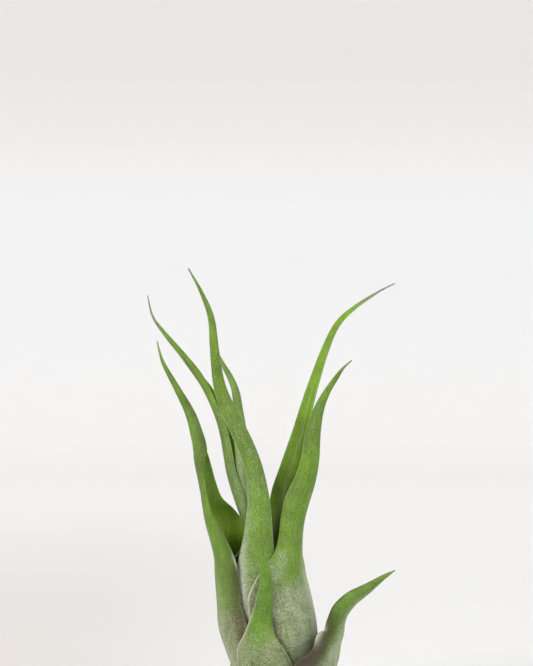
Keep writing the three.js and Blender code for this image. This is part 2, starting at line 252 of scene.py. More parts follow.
def join(pieces: list[Piece]) -> Piece:
    """Joins several objects into the first one.

    Args:
        pieces: the objects. The first one stays.

    Returns:
        The joined object.
    """
    deselect_all()
    for piece in pieces:
        piece.select_set(True)
    bpy.context.view_layer.objects.active = pieces[0]
    bpy.ops.object.join()
    return pieces[0]


def shade_smooth(piece: Piece) -> None:
    """Shades the whole piece smooth."""
    make_active(piece)
    bpy.ops.object.shade_smooth()


# ---- shader tools
class Wiring:
    """Adds nodes to one node tree and joins their sockets."""

    def __init__(self, tree: Tree) -> None:
        """Keeps the tree that the nodes go into."""
        self.tree = tree

    def add(self, kind: str, inputs: dict | None = None, **settings: object) -> Node:
        """Adds a node.

        Args:
            kind: the node's type.
            inputs: for each input socket, by name or number, a value or the socket that feeds it.
            settings: properties of the node itself.

        Returns:
            The node.
        """
        node = self.tree.nodes.new(kind)
        for name, value in settings.items():
            setattr(node, name, value)
        self.feed_all(node, inputs or {})
        return node

    def feed_all(self, node: Node, inputs: dict) -> None:
        """Feeds several input sockets of a node, each given by name or number."""
        for name, value in inputs.items():
            self.feed(node.inputs[name], value)

    def feed(self, socket: Socket, value: object) -> None:
        """Links a socket to the one given, or sets its value.

        Args:
            socket: the input socket.
            value: the socket that feeds it, or a number, a name or a colour.
        """
        if isinstance(value, Socket):
            self.tree.links.new(value, socket)
        elif isinstance(value, tuple) and socket.type == "RGBA":
            socket.default_value = (*value, 1.0)
        else:
            socket.default_value = value

    def math(self, operation: str, a: object, b: object = 0.0) -> Socket:
        """The result of a sum on two values, kept between 0 and 1."""
        return self.add("ShaderNodeMath", {0: a, 1: b}, operation=operation, use_clamp=True).outputs[0]

    def times(self, a: object, b: object) -> Socket:
        """The product of two values, kept between 0 and 1."""
        return self.math("MULTIPLY", a, b)

    def mix(self, factor: object, a: object, b: object, blend: str = "MIX") -> Socket:
        """Two colours mixed by a factor."""
        node = self.add("ShaderNodeMix", {0: factor, 6: a, 7: b}, data_type="RGBA", blend_type=blend)
        return node.outputs[2]

    def span(self, value: object, low: object, high: object, to_low: float = 0.0,
             to_high: float = 1.0) -> Socket:
        """A value read smoothly from the span low to high, onto the span to_low to to_high."""
        inputs = {"Value": value, "From Min": low, "From Max": high, "To Min": to_low, "To Max": to_high}
        return self.add("ShaderNodeMapRange", inputs, interpolation_type="SMOOTHSTEP").outputs[0]

    def tone(self, colour: object, factor: object) -> Socket:
        """A colour made lighter or darker by a factor."""
        grey = self.add("ShaderNodeCombineColor", {0: factor, 1: factor, 2: factor}).outputs[0]
        return self.mix(1.0, colour, grey, "MULTIPLY")

    def attribute(self, name: str) -> Socket:
        """The value of a mesh attribute."""
        return self.add("ShaderNodeAttribute", attribute_name=name).outputs["Fac"]

    def noise(self, vector: object, scale: float, detail: float = 2.0) -> Socket:
        """Soft noise from 0 to 1, with scale features to a metre."""
        inputs = {"Vector": vector, "Scale": scale, "Detail": detail, "Roughness": 0.55}
        return self.add("ShaderNodeTexNoise", inputs).outputs[0]

    def cells(self, vector: object, scale: float) -> bpy.types.bpy_prop_collection:
        """Round cells, scale to a metre: their Distance from the middle and a Color of their own."""
        return self.add("ShaderNodeTexVoronoi", {"Vector": vector, "Scale": scale}).outputs

    def place(self) -> Socket:
        """The point on the piece, in metres from its origin."""
        return self.add("ShaderNodeTexCoord").outputs["Object"]

    def stretched(self, vector: object, scale: tuple) -> Socket:
        """A point with each of its numbers scaled, so that a texture is longer one way."""
        return self.add("ShaderNodeMapping", {"Vector": vector, "Scale": scale}).outputs[0]

    def lengths(self) -> Socket:
        """The distances across and up a leaf, in metres."""
        return self.add("ShaderNodeUVMap", uv_map="lengths").outputs[0]


class GroupMaker:
    """Starts a shader node group with its named sockets."""

    def __init__(self, name: str, inputs: dict, outputs: dict) -> None:
        """Makes the group.

        Args:
            name: the group's name.
            inputs: for each input, its default value; a tuple makes it a colour.
            outputs: for each output, its socket type.
        """
        self.tree = bpy.data.node_groups.new(name, "ShaderNodeTree")
        for label, value in inputs.items():
            kind = "NodeSocketColor" if isinstance(value, tuple) else "NodeSocketFloat"
            socket = self.tree.interface.new_socket(label, in_out="INPUT", socket_type=kind)
            socket.default_value = (*value, 1.0) if isinstance(value, tuple) else value
        for label, kind in outputs.items():
            self.tree.interface.new_socket(label, in_out="OUTPUT", socket_type=kind)
        self.wiring = Wiring(self.tree)
        self.given = self.wiring.add("NodeGroupInput").outputs
        self.result = self.wiring.add("NodeGroupOutput").inputs

    def finish(self, **results: object) -> Tree:
        """Feeds the group's outputs.

        Args:
            results: for each output, its name in small letters and what feeds it.

        Returns:
            The finished group.
        """
        for label, value in results.items():
            self.wiring.feed(self.result[label.capitalize()], value)
        return self.tree


@dataclass(frozen=True)
class Grain:
    """How many features to a metre each kind of mottling has."""

    clouds: float = 150.0
    patches: float = 330.0
    ragged: float = 520.0
    speckle: float = 1600.0
    streaks: float = 1900.0
    rubbed: float = 2300.0
    flecks: float = 2300.0
    flush: float = 2400.0
    scales: float = 3300.0


GRAIN = Grain()
SKIN_COLOURS = ("blade", "fresh", "deep", "sheath", "flush", "dry", "margin")
PLAIN_GREEN = (0.12, 0.25, 0.02)  # a group's colour where nothing feeds it


def skin_group() -> Tree:
    """The skin under the scales: green blade, pale sheath, purple-brown flush and dry tip, in streaks, with
    painted light, painted shade and a painted shadow laid on it.

    Returns:
        A group that gives the skin's Color and its Streak, from 0 to 1.
    """
    colours = dict.fromkeys((label.capitalize() for label in SKIN_COLOURS), PLAIN_GREEN)
    maker = GroupMaker("Leaf skin", colours, {"Color": "NodeSocketColor", "Streak": "NodeSocketFloat"})
    w, given = maker.wiring, maker.given
    place = w.place()
    along = w.stretched(w.lengths(), (1.0, 0.06, 1.0))
    streak = w.noise(along, GRAIN.streaks, 3.0)
    ragged = w.span(w.noise(place, GRAIN.ragged, 4.0), 0.25, 0.75, -0.3, 0.3)
    spread = w.add("ShaderNodeMath", {0: w.attribute("sheath"), 1: ragged}, operation="ADD").outputs[0]
    colour = w.mix(w.span(spread, 0.25, 0.75), given["Blade"], given["Sheath"])
    # fresh green on a back; painted light in a channel, whose colour for these places is light
    colour = w.mix(w.attribute("fresh"), colour, given["Fresh"])
    # painted shade: a dark colour where a leaf lies in shadow, in its channel, by a curled margin or low on a
    # blade
    colour = w.mix(w.attribute("deep"), colour, given["Deep"])
    colour = w.tone(colour, w.span(w.noise(place, GRAIN.clouds), 0.3, 0.7, 0.84, 1.14))
    colour = w.tone(colour, w.span(streak, 0.25, 0.75, 0.84, 1.14))
    colour = w.tone(colour, w.span(w.noise(place, GRAIN.speckle, 3.0), 0.3, 0.7, 0.87, 1.13))
    # purple-brown flush, and a painted shadow where one leaf's margin falls on another
    grain = w.span(w.noise(place, GRAIN.flush, 3.0), 0.35, 0.65, 0.35, 1.5)
    colour = w.mix(w.times(w.attribute("flush"), grain), colour, given["Flush"])
    # pale margin, and painted light that lifts shaded places
    colour = w.mix(w.attribute("edge"), colour, given["Margin"])
    colour = w.mix(w.attribute("dry"), colour, given["Dry"])
    return maker.finish(color=colour, streak=streak)


def scale_group() -> Tree:
    """The fine silvery scales on a leaf, and the darker flecks between them.

    Returns:
        A group that gives the Color of the covered skin, and a Cover from 0 to 1 that stands up from it.
    """
    inputs = dict.fromkeys(("Skin", "Scales", "Flecks"), PLAIN_GREEN) | {"Gain": 1.0, "Fleck Share": 0.1}
    maker = GroupMaker("Leaf scales", inputs, {"Color": "NodeSocketColor", "Cover": "NodeSocketFloat"})
    w, given = maker.wiring, maker.given
    place = w.place()
    along = w.stretched(w.lengths(), (1.0, 0.75, 1.0))
    patches = w.span(w.noise(place, GRAIN.patches, 4.0), 0.3, 0.7, 0.45, 1.5)
    rubbed = w.span(w.noise(along, GRAIN.rubbed, 3.0), 0.32, 0.68, 0.45, 1.45)
    wanted = w.times(w.times(w.times(w.attribute("silver"), given["Gain"]), patches), rubbed)
    cell = w.cells(place, GRAIN.scales)
    draw = w.add("ShaderNodeSeparateColor", {0: cell["Color"]}).outputs[0]
    there = w.span(w.math("SUBTRACT", wanted, draw), 0.0, 0.15)
    shield = w.times(there, w.span(cell["Distance"], 0.8, 0.2))
    colour = w.mix(w.times(wanted, 0.55), given["Skin"], given["Scales"])
    colour = w.mix(w.times(shield, 0.55), colour, given["Scales"])
    spot = w.cells(place, GRAIN.flecks)
    chance = w.add("ShaderNodeSeparateColor", {0: spot["Color"]}).outputs[1]
    share = w.times(given["Fleck Share"], w.span(w.attribute("sheath"), 0.0, 1.0, 0.45, 1.0))
    fleck = w.span(w.math("SUBTRACT", share, chance), 0.0, 0.05)
    fleck = w.times(fleck, w.span(spot["Distance"], 0.55, 0.2))
    colour = w.mix(w.times(fleck, 0.72), colour, given["Flecks"])
    return maker.finish(color=colour, cover=shield)


class SharedEffects:
    """The node groups that more than one material uses."""

    def __init__(self) -> None:
        """Makes each group once."""
        self.skin = skin_group()
        self.scales = scale_group()


def new_material(name: str) -> tuple[Material, Wiring, Node]:
    """Starts a material with a node tree.

    Args:
        name: the material's name.

    Returns:
        The material, the wiring of its tree and its Principled BSDF.
    """
    material = bpy.data.materials.new(name)
    material.use_nodes = True
    return material, Wiring(material.node_tree), material.node_tree.nodes["Principled BSDF"]


@dataclass(frozen=True)
class LeafFinish:
    """One side of a leaf: the colours of its skin and scales, and how it takes the light."""

    name: str
    blade: Colour
    fresh: Colour
    deep: Colour
    sheath: Colour
    flush: Colour
    dry: Colour
    margin: Colour
    scales: Colour
    flecks: Colour
    gain: float
    fleck_share: float
    roughness: float
    sheen: float
    relief: float

    def material(self, effects: SharedEffects) -> Material:
        """Makes the material.

        Args:
            effects: the shared node groups.

        Returns:
            The material.
        """
        material, w, shader = new_material(self.name)
        skin = w.add("ShaderNodeGroup", node_tree=effects.skin)
        for label in SKIN_COLOURS:
            w.feed(skin.inputs[label.capitalize()], getattr(self, label))
        cover = w.add("ShaderNodeGroup", node_tree=effects.scales)
        w.feed_all(cover, {
            "Skin": skin.outputs["Color"], "Scales": self.scales, "Flecks": self.flecks,
            "Gain": self.gain, "Fleck Share": self.fleck_share,
        })
        rough = w.span(cover.outputs["Cover"], 0.0, 1.0, self.roughness, self.roughness + 0.18)
        height = w.math("ADD", w.times(cover.outputs["Cover"], 0.6), w.times(skin.outputs["Streak"], 0.4))
        bump = w.add("ShaderNodeBump", {"Height": height, "Strength": self.relief, "Distance": 0.12 * MM})
        w.feed_all(shader, {
            "Base Color": cover.outputs["Color"], "Roughness": rough, "Specular IOR Level": 0.28,
            "Subsurface Weight": 0.35, "Subsurface Radius": (0.7, 1.0, 0.15),
            "Subsurface Scale": 1.2 * MM, "Sheen Weight": self.sheen, "Sheen Roughness": 0.45,
            "Sheen Tint": (0.9, 0.95, 0.85), "Normal": bump.outputs[0],
        })
        return material


@dataclass(frozen=True)
class ScaleFinish:
    """The raised scales, a pale dull green."""

    name: str = "Silver scale"
    light: Colour = (0.215, 0.305, 0.105)
    dark: Colour = (0.15, 0.24, 0.045)
    roughness: float = 0.7
    drift: float = 700.0

    def material(self) -> Material:
        """Makes the material, which drifts between its two colours over the plant.

        Returns:
            The material.
        """
        material, w, shader = new_material(self.name)
        place = w.place()
        colour = w.mix(w.noise(place, self.drift), self.dark, self.light)
        w.feed_all(shader, {"Base Color": colour, "Roughness": self.roughness})
        return material


@dataclass(frozen=True)
class WoodFinish:
    """Dry woody matter with fibres: the stem's bark, or a wiry root."""

    name: str
    dark: Colour
    light: Colour
    dust: Colour
    fibre_scale: float
    roughness: float = 0.85

    def material(self) -> Material:
        """Makes the material.

        Returns:
            The material, with fibres up the piece, pale worn spots and a rough relief.
        """
        material, w, shader = new_material(self.name)
        place = w.place()
        upright = w.stretched(place, (1.0, 1.0, 0.25))
        fibre = w.noise(upright, self.fibre_scale, 5.0)
        colour = w.mix(w.span(fibre, 0.3, 0.7), self.dark, self.light)
        worn = w.span(w.noise(place, 500.0, 3.0), 0.55, 0.75, 0.0, 0.7)
        rough = w.span(fibre, 0.2, 0.8, self.roughness - 0.1, self.roughness + 0.08)
        bump = w.add("ShaderNodeBump", {"Height": fibre, "Strength": 0.7, "Distance": 0.3 * MM})
        w.feed_all(shader, {
            "Base Color": w.mix(worn, colour, self.dust), "Roughness": rough, "Normal": bump.outputs[0],
        })
        return material


# ---- the leaves
class Tint(Enum):
    """What a soft spot on a leaf adds; the value is the mesh attribute that holds it."""

    SILVER = "silver"
    # purple-brown flush; once a painted shadow
    FLUSH = "flush"
    # fresh green on a back; painted light in a channel
    FRESH_AND_LIT = "fresh"
    # painted shade, where a leaf lies in shadow; once a real dark fleck
    DARK_AND_SHADE = "deep"
    # pale margin; also painted light where a leaf lies in shade
    EDGE = "edge"


@dataclass(frozen=True)
class Spot:
    """A soft spot of a tint on a leaf: its height and reach up the leaf in mm, its place and reach across."""

    tint: Tint
    height: float
    across: float
    tall: float
    wide: float
    amount: float

    def strength(self, heights: Array, across: Array) -> Array:
        """Works out how much of the spot each point gets.

        Args:
            heights: the points' heights in mm.
            across: the points' places across the leaf, from -1 to 1.

        Returns:
            One strength for each point.
        """
        up = (heights - self.height) / self.tall
        over = (across - self.across) / self.wide
        return self.amount * np.exp(-(up * up + over * over))


def make_spots(**rows: tuple) -> tuple[Spot, ...]:
    """Makes the spots of a leaf.

    Args:
        rows: for each tint, by its value, its spots' height, across, tall, wide and amount.

    Returns:
        The spots.
    """
    return tuple(Spot(Tint(tint), *row) for tint, some in rows.items() for row in some)


@dataclass(frozen=True)
class TintRule:
    """How strong the tints are before the spots. A pair says where one starts and where it is full."""

    rim: tuple = (0.72, 1.0)  # shares of the way from the midrib to a margin
    thin_rim: tuple = (0.95, 0.985)
    silver: float = 0.1
    silver_on_sheath: float = 0.46
    silver_lost: float = 0.8  # where the skin is flushed, darkened by painted shade or crossed by a painted shadow
    flush_on_rim: float = 0.3
    flush_at_foot: float = 0.8
    flush_foot: tuple = (15, 6)  # heights in mm
    edge: float = 0.07
    edge_on_sheath: float = 0.32
    dry_fade: float = 0.1  # of the leaf's length
    dry_at_foot: float = 0.7
    dry_foot: tuple = (9, 4)


TINT_RULE = TintRule()


@dataclass
class Sections:
    """The sections of a leaf at some places up it, each field with one entry for each place."""

    midrib: Array
    back: Array
    side: Array
    radius: Array
    roll: Array
    thickness: Array


@dataclass
class Leaf:
    """A leaf: a sheath in its layer of the bulb, and a blade whose section is an arc.

    Degrees and mm, as on the leaf's solid: the azimuth of the midrib, how far it turns by the sheath's
    top, the layer counted from outside, how far the sheath's top flares, the sheath's half width at
    some heights, and the blade's knots (x, y, z, radius to the back, half angle, azimuth it faces).
    """

    name: str
    azimuth: float
    layer: int
    wrap: tuple
    blade: tuple
    turn: float = 0.0
    flare: float = 0.0
    pale_to: float = 45.0  # the height up to which the sheath is pale
    pale_fade: float = 8.0  # how far above and below it the pale fades
    dry_from: float = 0.93  # the share of the leaf's length from which its tip dries
    spots: tuple = ()

    def sheath_knots(self) -> list[list[float]]:
        """The knots of the sheath.

        Returns:
            Rows of the midrib's x, y and z, the half width, facing, roll, thickness and squareness.
        """
        shares = np.linspace(0, len(BULB_PROFILE) - 1, OUTLINE_STEPS)
        outline = read_knots(np.array(BULB_PROFILE), shares) * MM
        along = unit(np.gradient(outline, axis=0))
        depth = self.layer * LAYER_STEP
        radii = outline[:, 0] - along[:, 1] * depth
        heights = outline[:, 1] + along[:, 0] * depth
        end = np.interp(self.wrap[-1][0] * MM, heights, shares)
        rows = []
        for share in np.linspace(0, 1, SHEATH_KNOTS + 1):
            height = np.interp(end * share, shares, heights)
            radius = np.interp(end * share, shares, radii) + self.flare * MM * share ** 1.5
            roll = math.radians(read_pairs(self.wrap, np.array([height / MM]))[0])
            face = math.radians(self.azimuth + self.turn * share ** 2)
            centre = read_pairs(BULB_AXIS, np.array([height / MM]))[0] * MM
            x, y = centre + radius * math.cos(face), radius * math.sin(face)
            rows.append([x, y, height, radius * roll, face, roll, SHEATH_THICKNESS, 0.0])
        return rows

    def blade_knots(self) -> list[list[float]]:
        """The knots of the blade.

        Returns:
            Rows as the sheath's.
        """
        rows = []
        for x, y, z, back_radius, roll_degrees, face_degrees in self.blade:
            thickness = max(BLADE_BASE + BLADE_GROWTH * back_radius, THINNEST_BLADE)
            thickness = min(thickness, BLADE_THICKNESS / MM)
            radius = max(back_radius - thickness / 2, TIGHTEST_BLADE * thickness) * MM
            face, roll = math.radians(face_degrees), math.radians(roll_degrees)
            centre = np.array([x, y, z]) * MM
            at = centre + radius * np.array([math.cos(face), math.sin(face), 0.0])
            rows.append([*at, radius * roll, face, roll, thickness * MM, 1.0])
        return rows

    def sections(self, places: Array) -> Sections:
        """Works out the leaf's sections.

        Args:
            places: where to take them, counted in knots.

        Returns:
            The sections.
        """
        knots = np.array(self.sheath_knots() + self.blade_knots())
        last = len(knots) - 1
        midrib = read_knots(knots[:, :3], places, reflect=True)
        ahead = read_knots(knots[:, :3], np.minimum(places + TANGENT_STEP, last), reflect=True)
        behind = read_knots(knots[:, :3], np.maximum(places - TANGENT_STEP, 0), reflect=True)
        half_width, face, roll, thickness, square = read_knots(knots[:, 3:], places).T
        lean = np.clip(square, 0, 1)[:, None]
        along = unit((1 - lean) * np.array([0.0, 0.0, 1.0]) + lean * unit(ahead - behind))
        back = np.stack([np.cos(face), np.sin(face), np.zeros_like(face)], axis=1)
        back = unit(back - along * np.sum(back * along, axis=1, keepdims=True))
        drawn = smooth_step(last * (1 - TIP_SHARE), last, places)
        half_width = half_width * (1 - (1 - TIP_WIDTH) * drawn)
        thickness = thickness + (TIP_THICKNESS - thickness) * drawn
        return Sections(midrib, back, np.cross(along, back), half_width / roll, roll, thickness)

    def places(self) -> Array:
        """Spaces the rows of the mesh up the leaf.

        Returns:
            The place of each row, counted in knots.
        """
        sheath = np.linspace(0, SHEATH_KNOTS, SHEATH_KNOTS * ROWS_PER_SHEATH_KNOT + 1)
        count = len(self.blade)
        blade = np.linspace(SHEATH_KNOTS, SHEATH_KNOTS + count, count * ROWS_PER_BLADE_KNOT + 1)
        return np.concatenate([sheath, blade[1:]])

    def build_sheet(self) -> Piece:
        """Lays a flat grid onto the leaf's middle surface.

        Returns:
            The sheet, with its tints, its thickness, and its lengths as a UV map.
        """
        places = self.places()
        deselect_all()
        bpy.ops.mesh.primitive_grid_add(
            x_subdivisions=COLUMNS, y_subdivisions=len(places) - 1, size=2.0, calc_uvs=True)
        piece = bpy.context.active_object
        piece.name = "fine_" + self.name
        mesh = piece.data
        across, up, _ = read_all(mesh.vertices, "co", 3).T
        row = np.rint((up + 1) / 2 * (len(places) - 1)).astype(int)
        s = self.sections(places)
        angle = (across * s.roll[row])[:, None]
        radius = s.radius[row][:, None]
        points = s.midrib[row] + s.back[row] * radius * (np.cos(angle) - 1)
        points += s.side[row] * radius * np.sin(angle)
        mesh.vertices.foreach_set("co", points.ravel())
        steps = np.linalg.norm(np.diff(s.midrib, axis=0), axis=1)
        lengths = np.concatenate([[0], np.cumsum(steps)])
        self.lay_lengths(mesh, across * s.roll[row] * s.radius[row], lengths[row])
        self.lay_thickness(piece, across, s.thickness[row])
        self.lay_tints(mesh, across, points[:, 2] / MM, lengths[row] / lengths[-1])
        mesh.update()
        return piece

    def lay_lengths(self, mesh: Mesh, girth: Array, reach: Array) -> None:
        """Names the UV map and fills it with distances over the leaf, in metres.

        Args:
            mesh: the leaf's sheet.
            girth: each point's distance from the midrib.
            reach: each point's distance from the foot of the leaf.
        """
        layer = mesh.uv_layers[0]
        layer.name = "lengths"
        corners = read_all(mesh.loops, "vertex_index", kind=int)
        layer.uv.foreach_set("vector", np.stack([girth[corners], reach[corners]], axis=1).ravel())

    def lay_thickness(self, piece: Piece, across: Array, thickness: Array) -> None:
        """Writes the leaf's thickness, which falls to its margins, as shares of the greatest one.

        Args:
            piece: the leaf's sheet.
            across: each point's place across, from -1 to 1.
            thickness: the thickness at the midrib, beside each point.
        """
        margin = np.minimum(MARGIN_THICKNESS, thickness)
        wanted = thickness + (margin - thickness) * np.abs(across) ** 3
        group = piece.vertex_groups.new(name="thickness")
        for index, share in enumerate(wanted / BLADE_THICKNESS):
            group.add([index], float(share), "REPLACE")

    def lay_tints(self, mesh: Mesh, across: Array, heights: Array,
                  shares: Array) -> None:
        """Writes the attributes that the finishes read.

        Args:
            mesh: the leaf's sheet.
            across: each point's place across, from -1 to 1.
            heights: each point's height in mm.
            shares: each point's share of the leaf's length.
        """
        sheath = smooth_step(self.pale_to + self.pale_fade, self.pale_to - self.pale_fade, heights)
        rule = TINT_RULE
        rim = smooth_step(*rule.rim, np.abs(across))
        thin_rim = smooth_step(*rule.thin_rim, np.abs(across))
        foot = rule.flush_at_foot * smooth_step(*rule.flush_foot, heights)
        dry_foot = rule.dry_at_foot * smooth_step(*rule.dry_foot, heights)
        values = {
            "sheath": sheath,
            "silver": rule.silver + rule.silver_on_sheath * sheath,
            "flush": rule.flush_on_rim * rim * sheath + foot,
            "fresh": np.zeros_like(across),
            "deep": np.zeros_like(across),
            "edge": (rule.edge + rule.edge_on_sheath * sheath) * thin_rim,
            "dry": smooth_step(self.dry_from, self.dry_from + rule.dry_fade, shares) + dry_foot,
        }
        for spot in self.spots:
            values[spot.tint.value] = values[spot.tint.value] + spot.strength(heights, across)
        values["silver"] *= 1 - rule.silver_lost * np.clip(values["flush"] + values["deep"], 0, 1)
        for name, value in values.items():
            attribute = mesh.attributes.new(name, "FLOAT", "POINT")
            attribute.data.foreach_set("value", np.clip(value, 0, 1).astype(np.float32))

    def thicken(self, piece: Piece) -> None:
        """Gives the sheet its uneven skin, its thickness and round margins.

        Args:
            piece: the leaf's sheet.
        """
        add_modifier(piece, "DISPLACE", texture=clouds("Soft dents", DENT_SIZE, 2), texture_coords="LOCAL",
                     strength=DENT_DEPTH, vertex_group="thickness")
        add_modifier(piece, "SOLIDIFY", thickness=BLADE_THICKNESS, offset=0.0, vertex_group="thickness",
                     material_offset=1, material_offset_rim=2)
        add_modifier(piece, "SUBSURF", levels=1, render_levels=1)
        apply_modifiers(piece)

    def build(self, finishes: list[Material], coat: "ScaleCoat") -> Piece:
        """Builds the leaf, dresses it and sets scales on its back.

        Args:
            finishes: the materials of the back, the channel, the margin and the scales.
            coat: what places the scales.

        Returns:
            The finished leaf.
        """
        piece = self.build_sheet()
        for material in finishes:
            piece.data.materials.append(material)
        self.thicken(piece)
        scales = coat.build(piece, len(finishes) - 1)
        join([piece, scales])
        shade_smooth(piece)
        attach(piece, "root")
        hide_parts(self.name)
        return piece


@dataclass
class ScaleCoat:
    """The scales that stand up from a leaf's back: one is modelled and copied over the silvery places."""

    radius: float = 0.12 * MM
    height: float = 0.05 * MM
    sunk: float = 0.03 * MM
    per_leaf: int = 1700
    sides: int = 6
    crown: float = 0.3  # the top's radius as a share of the foot's
    crowding: float = 2.5  # how much more there are where a leaf is more silvery
    sizes: tuple = (0.6, 1.25)

    def __post_init__(self) -> None:
        """Models the one scale: a low round shield."""
        deselect_all()
        bpy.ops.mesh.primitive_cone_add(
            vertices=self.sides, radius1=self.radius, radius2=self.radius * self.crown,
            depth=self.height + self.sunk, location=(0, 0, (self.height - self.sunk) / 2))
        pattern = bpy.context.active_object
        self.corners = np.array([pattern.matrix_world @ v.co for v in pattern.data.vertices])
        self.faces = [tuple(face.vertices) for face in pattern.data.polygons]
        bpy.data.objects.remove(pattern)
        self.random = np.random.default_rng(SCATTER_SEED)

    def build(self, leaf: Piece, slot: int) -> Piece:
        """Copies the scale over the back of a leaf, more where the leaf is silvery.

        Args:
            leaf: the leaf's finished mesh.
            slot: the material slot of the scales.

        Returns:
            One object that holds all of this leaf's scales.
        """
        mesh = leaf.data
        mesh.calc_loop_triangles()
        corners = read_all(mesh.loop_triangles, "vertices", 3, int)
        corners = corners[read_all(mesh.loop_triangles, "material_index", kind=int) == 0]
        points = read_all(mesh.vertices, "co", 3)
        silver = read_all(mesh.attributes[Tint.SILVER.value].data, "value", kind=np.float32)
        a, b, c = (points[corners[:, k]] for k in range(3))
        normals = np.cross(b - a, c - a)
        weights = np.linalg.norm(normals, axis=1) * silver[corners].mean(axis=1) ** self.crowding
        picked = self.random.choice(len(corners), self.per_leaf, p=weights / weights.sum())
        u, v = self.random.random((2, self.per_leaf, 1))
        flip = u + v > 1
        u, v = np.where(flip, 1 - u, u), np.where(flip, 1 - v, v)
        at = a[picked] + u * (b - a)[picked] + v * (c - a)[picked]
        return self.copies(leaf, slot, at, unit(normals[picked]))

    def copies(self, leaf: Piece, slot: int, at: Array, out: Array) -> Piece:
        """Copies the scale to each point, flat on the leaf, turned and sized at random.

        Args:
            leaf: the leaf's finished mesh.
            slot: the material slot of the scales.
            at: the points.
            out: the direction out of the leaf at each point.

        Returns:
            One object that holds the copies.
        """
        some_way = self.random.normal(size=at.shape)
        tangent = unit(some_way - out * np.sum(some_way * out, axis=1, keepdims=True))
        other = np.cross(out, tangent)
        size = self.random.uniform(*self.sizes, (len(at), 1, 1))
        x, y, z = (self.corners[None, :, k, None] for k in range(3))
        where = at[:, None] + size * (x * tangent[:, None] + y * other[:, None] + z * out[:, None])
        stride = len(self.corners)
        faces = [tuple(k + i * stride for k in face) for i in range(len(at)) for face in self.faces]
        mesh = bpy.data.meshes.new(leaf.name + "_scales")
        mesh.from_pydata(where.reshape(-1, 3).tolist(), [], faces)
        for material in leaf.data.materials:
            mesh.materials.append(material)
        mesh.polygons.foreach_set("material_index", [slot] * len(faces))
        return put_in_scene(mesh.name, mesh)


